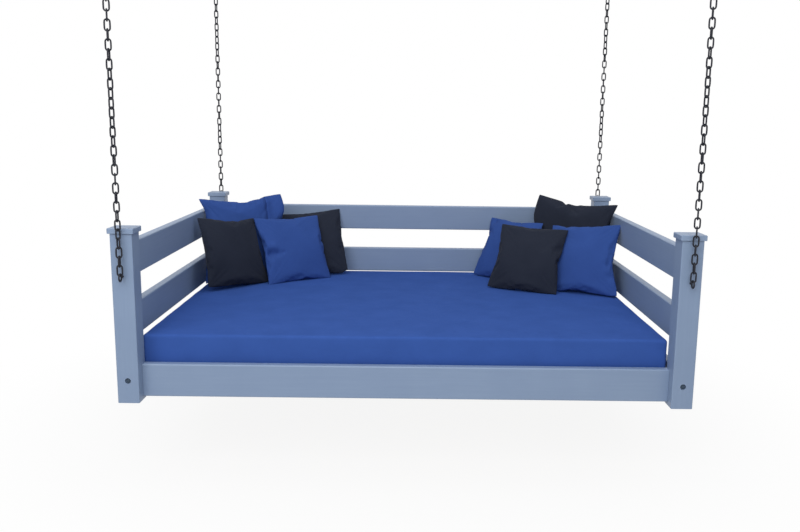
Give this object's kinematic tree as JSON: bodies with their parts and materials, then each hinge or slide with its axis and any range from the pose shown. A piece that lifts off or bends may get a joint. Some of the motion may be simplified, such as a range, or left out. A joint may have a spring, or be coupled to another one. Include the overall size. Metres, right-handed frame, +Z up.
{
  "type": "porch swing",
  "caption": "Daybed porch swing: railed timber frame with a low front, a mattress and scatter pillows, hung from the ceiling on chains.",
  "frame": {"origin": "on the ceiling plane, midway between the four chains", "axes": "+Z up, +X along the length of the bed, -Y towards the low open front"},
  "size_m": [2.386, 1.878, 1.998],
  "materials": {
    "painted_wood": "slate blue satin paint",
    "bare_wood": "planed, unpainted",
    "blue_fabric": "woven outdoor cloth",
    "charcoal_fabric": "woven outdoor cloth",
    "dark_steel": "blackened steel"
  },
  "bodies": {
    "ceiling_plates": {"front_left_hanger": "dark_steel", "front_right_hanger": "dark_steel", "back_left_hanger": "dark_steel", "back_right_hanger": "dark_steel"},
    "top_link_front_left": {"front_left_top_link": "dark_steel"},
    "top_link_front_right": {"front_right_top_link": "dark_steel"},
    "top_link_back_left": {"back_left_top_link": "dark_steel"},
    "top_link_back_right": {"back_right_top_link": "dark_steel"},
    "chain_front_left": {"front_left_upper_chain": "dark_steel"},
    "chain_front_right": {"front_right_upper_chain": "dark_steel"},
    "chain_back_left": {"back_left_upper_chain": "dark_steel"},
    "chain_back_right": {"back_right_upper_chain": "dark_steel"},
    "pivot_front_left": {"front_left_pivot_link": "dark_steel"},
    "pivot_front_right": {"front_right_pivot_link": "dark_steel"},
    "pivot_back_left": {"back_left_pivot_link": "dark_steel"},
    "pivot_back_right": {"back_right_pivot_link": "dark_steel"},
    "bed": {"front_left_post": "painted_wood", "front_right_post": "painted_wood", "back_left_post": "painted_wood", "back_right_post": "painted_wood", "front_left_cap": "painted_wood", "front_right_cap": "painted_wood", "back_left_cap": "painted_wood", "back_right_cap": "painted_wood", "front_bottom_rail": "painted_wood", "back_bottom_rail": "painted_wood", "back_middle_rail": "painted_wood", "back_top_rail": "painted_wood", "left_bottom_rail": "painted_wood", "left_middle_rail": "painted_wood", "left_top_rail": "painted_wood", "right_bottom_rail": "painted_wood", "right_middle_rail": "painted_wood", "right_top_rail": "painted_wood", "front_cleat": "bare_wood", "back_cleat": "bare_wood", "centre_beam": "bare_wood", "slat_base": "bare_wood", "mattress": "blue_fabric", "left_corner_pillow": "blue_fabric", "left_side_pillow": "charcoal_fabric", "left_front_pillow": "blue_fabric", "left_rail_pillow": "charcoal_fabric", "right_corner_pillow": "charcoal_fabric", "right_rail_pillow": "blue_fabric", "right_front_pillow": "charcoal_fabric", "right_side_pillow": "blue_fabric", "front_left_bolt": "dark_steel", "front_right_bolt": "dark_steel", "back_left_bolt": "dark_steel", "back_right_bolt": "dark_steel", "front_left_screw_eye": "dark_steel", "front_right_screw_eye": "dark_steel", "back_left_screw_eye": "dark_steel", "back_right_screw_eye": "dark_steel", "front_left_lower_chain": "dark_steel", "front_right_lower_chain": "dark_steel", "back_left_lower_chain": "dark_steel", "back_right_lower_chain": "dark_steel"}
  },
  "joints": [
    {"name": "sway", "type": "hinge", "parent": "ceiling_plates", "child": "top_link_front_left", "pos_m": [-1.1405, -0.884, -0.049], "axis": [0, 1, 0], "range_deg": [-8, 8]},
    {"name": "sway_front_right", "type": "hinge", "parent": "ceiling_plates", "child": "top_link_front_right", "pos_m": [1.1405, -0.884, -0.049], "axis": [0, 1, 0], "range_deg": [-8, 8]},
    {"name": "sway_back_left", "type": "hinge", "parent": "ceiling_plates", "child": "top_link_back_left", "pos_m": [-1.1405, 0.884, -0.049], "axis": [0, 1, 0], "range_deg": [-8, 8]},
    {"name": "sway_back_right", "type": "hinge", "parent": "ceiling_plates", "child": "top_link_back_right", "pos_m": [1.1405, 0.884, -0.049], "axis": [0, 1, 0], "range_deg": [-8, 8]},
    {"name": "swing", "type": "hinge", "parent": "top_link_front_left", "child": "chain_front_left", "pos_m": [-1.1405, -0.884, -0.08306], "axis": [1, 0, 0], "range_deg": [-20, 20]},
    {"name": "swing_front_right", "type": "hinge", "parent": "top_link_front_right", "child": "chain_front_right", "pos_m": [1.1405, -0.884, -0.08306], "axis": [1, 0, 0], "range_deg": [-20, 20]},
    {"name": "swing_back_left", "type": "hinge", "parent": "top_link_back_left", "child": "chain_back_left", "pos_m": [-1.1405, 0.884, -0.08306], "axis": [1, 0, 0], "range_deg": [-20, 20]},
    {"name": "swing_back_right", "type": "hinge", "parent": "top_link_back_right", "child": "chain_back_right", "pos_m": [1.1405, 0.884, -0.08306], "axis": [1, 0, 0], "range_deg": [-20, 20]},
    {"name": "pivot_swing_front_left", "type": "hinge", "parent": "chain_front_left", "child": "pivot_front_left", "pos_m": [-1.1405, -0.884, -1.19924], "axis": [1, 0, 0], "range_deg": [-20, 20]},
    {"name": "pivot_swing_front_right", "type": "hinge", "parent": "chain_front_right", "child": "pivot_front_right", "pos_m": [1.1405, -0.884, -1.19924], "axis": [1, 0, 0], "range_deg": [-20, 20]},
    {"name": "pivot_swing_back_left", "type": "hinge", "parent": "chain_back_left", "child": "pivot_back_left", "pos_m": [-1.1405, 0.884, -1.19924], "axis": [1, 0, 0], "range_deg": [-20, 20]},
    {"name": "pivot_swing_back_right", "type": "hinge", "parent": "chain_back_right", "child": "pivot_back_right", "pos_m": [1.1405, 0.884, -1.19924], "axis": [1, 0, 0], "range_deg": [-20, 20]},
    {"name": "bed_sway", "type": "hinge", "parent": "pivot_front_left", "child": "bed", "pos_m": [-1.1405, -0.884, -1.23544], "axis": [0, 1, 0], "range_deg": [-8, 8]}
  ],
  "couplings": [
    {"joint": "sway_front_right", "follows": "sway", "ratio": 1},
    {"joint": "sway_back_left", "follows": "sway", "ratio": 1},
    {"joint": "sway_back_right", "follows": "sway", "ratio": 1},
    {"joint": "bed_sway", "follows": "sway", "ratio": -1},
    {"joint": "swing_front_right", "follows": "swing", "ratio": 1},
    {"joint": "swing_back_left", "follows": "swing", "ratio": 1},
    {"joint": "swing_back_right", "follows": "swing", "ratio": 1},
    {"joint": "pivot_swing_front_left", "follows": "swing", "ratio": -1},
    {"joint": "pivot_swing_front_right", "follows": "swing", "ratio": -1},
    {"joint": "pivot_swing_back_left", "follows": "swing", "ratio": -1},
    {"joint": "pivot_swing_back_right", "follows": "swing", "ratio": -1}
  ]
}
